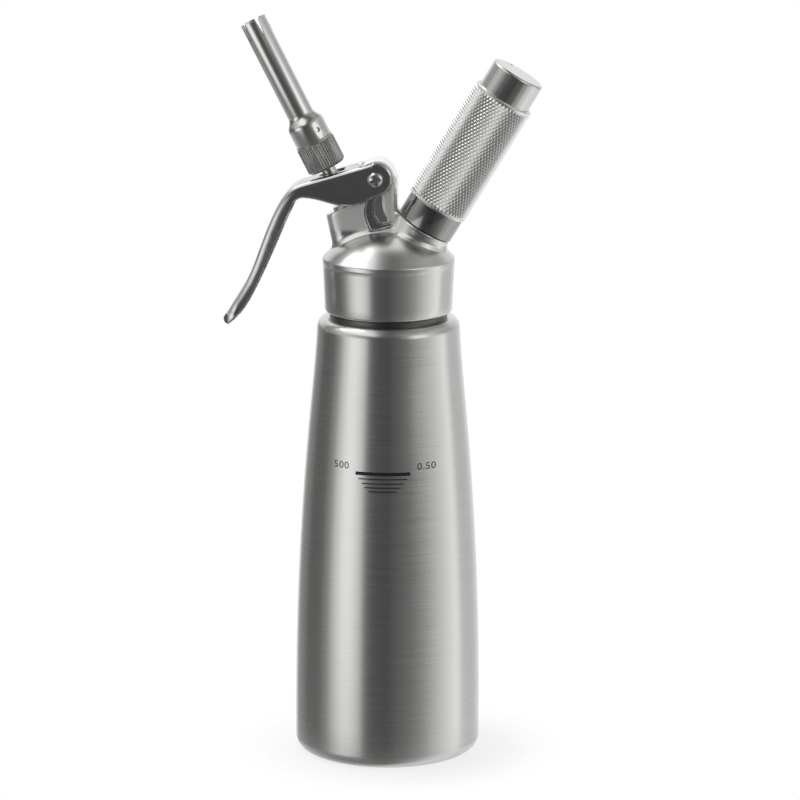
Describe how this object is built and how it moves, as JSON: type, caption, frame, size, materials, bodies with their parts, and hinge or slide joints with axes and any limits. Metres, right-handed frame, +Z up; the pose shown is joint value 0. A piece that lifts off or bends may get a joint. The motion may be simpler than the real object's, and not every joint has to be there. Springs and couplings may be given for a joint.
{
  "type": "whipped cream dispenser",
  "caption": "Stainless steel whipped cream dispenser with a tapered bottle, screw-on head, pressed lever, fingered nozzle and a screw-on charger holder.",
  "frame": {"origin": "centre of the bottle's base, on the surface that it stands on", "axes": "+Z up along the bottle's axis; the lever and nozzle lean towards -X, the charger holder leans towards +X, and -Y is the front, with the fill mark"},
  "size_m": [0.1305, 0.0766, 0.3081],
  "materials": {
    "bottle_steel": "satin stainless steel, brushed round the body",
    "head_steel": "satin blasted and turned stainless steel",
    "lever_steel": "polished stainless steel",
    "fastener_steel": "bright stainless steel",
    "stem_steel": "turned stainless steel",
    "spring_steel": "drawn spring steel wire",
    "nozzle_steel": "turned stainless steel",
    "holder_steel": "turned and polished stainless steel",
    "grip_aluminium": "diamond knurled",
    "charger_steel": "drawn steel",
    "gasket_silicone": "food silicone",
    "valve_rubber": "nitrile rubber",
    "seat_plastic": "white PTFE"
  },
  "bodies": {
    "bottle": {"bottle_shell": "bottle_steel", "bottle_neck": "bottle_steel"},
    "gasket": {"head_gasket": "gasket_silicone"},
    "head": {"head_body": "head_steel", "valve_bush": "head_steel", "valve_seat": "seat_plastic", "valve_spring": "spring_steel", "piercing_pin": "fastener_steel", "inlet_gasket": "gasket_silicone", "inlet_check_valve": "valve_rubber", "pivot_nut": "fastener_steel", "pivot_screw": "fastener_steel"},
    "lever": {"lever": "lever_steel"},
    "valve": {"valve_stem": "stem_steel", "stem_seal_ring": "valve_rubber", "valve_plug": "valve_rubber", "valve_end_screw": "fastener_steel"},
    "washer": {"nozzle_washer": "gasket_silicone"},
    "nozzle": {"nozzle_tip": "nozzle_steel", "nozzle_grip_ring": "nozzle_steel"},
    "charger": {"gas_charger": "charger_steel", "charger_cap": "charger_steel"},
    "holder": {"holder_tube": "holder_steel", "holder_grip": "grip_aluminium"}
  },
  "joints": [
    {"name": "head_lift", "type": "slide", "parent": "bottle", "child": "gasket", "axis": [0, 0, 1], "range_m": [0, 0.0075]},
    {"name": "head_turn", "type": "hinge", "parent": "gasket", "child": "head", "pos_m": [0, 0, 0.192], "axis": [0, 0, 1], "range_deg": [0, 900]},
    {"name": "lever_swing", "type": "hinge", "parent": "head", "child": "lever", "pos_m": [-0.0048, 0, 0.2422], "axis": [0, -1, 0], "range_deg": [0, 10], "stiffness_Nm_per_rad": 0.25, "springref_deg": -17.19},
    {"name": "valve_travel", "type": "slide", "parent": "head", "child": "valve", "axis": [0.454, 0, -0.891], "range_m": [0, 0.0022], "deforming": ["valve_spring"]},
    {"name": "nozzle_lift", "type": "slide", "parent": "valve", "child": "washer", "axis": [-0.454, 0, 0.891], "range_m": [0, 0.006]},
    {"name": "nozzle_turn", "type": "hinge", "parent": "washer", "child": "nozzle", "pos_m": [-0.01745, 0, 0.2304], "axis": [-0.454, 0, 0.891], "range_deg": [0, 1080]},
    {"name": "holder_lift", "type": "slide", "parent": "head", "child": "charger", "axis": [0.512, 0, 0.859], "range_m": [0, 0.0075]},
    {"name": "holder_turn", "type": "hinge", "parent": "charger", "child": "holder", "pos_m": [0.0148, 0, 0.2218], "axis": [0.512, 0, 0.859], "range_deg": [0, 1080]}
  ],
  "couplings": [
    {"joint": "head_lift", "follows": "head_turn", "m_per_rad": 0.0004774},
    {"joint": "valve_travel", "follows": "lever_swing", "m_per_rad": 0.012604},
    {"joint": "nozzle_lift", "follows": "nozzle_turn", "m_per_rad": 0.0003183},
    {"joint": "holder_lift", "follows": "holder_turn", "m_per_rad": 0.0003978}
  ]
}
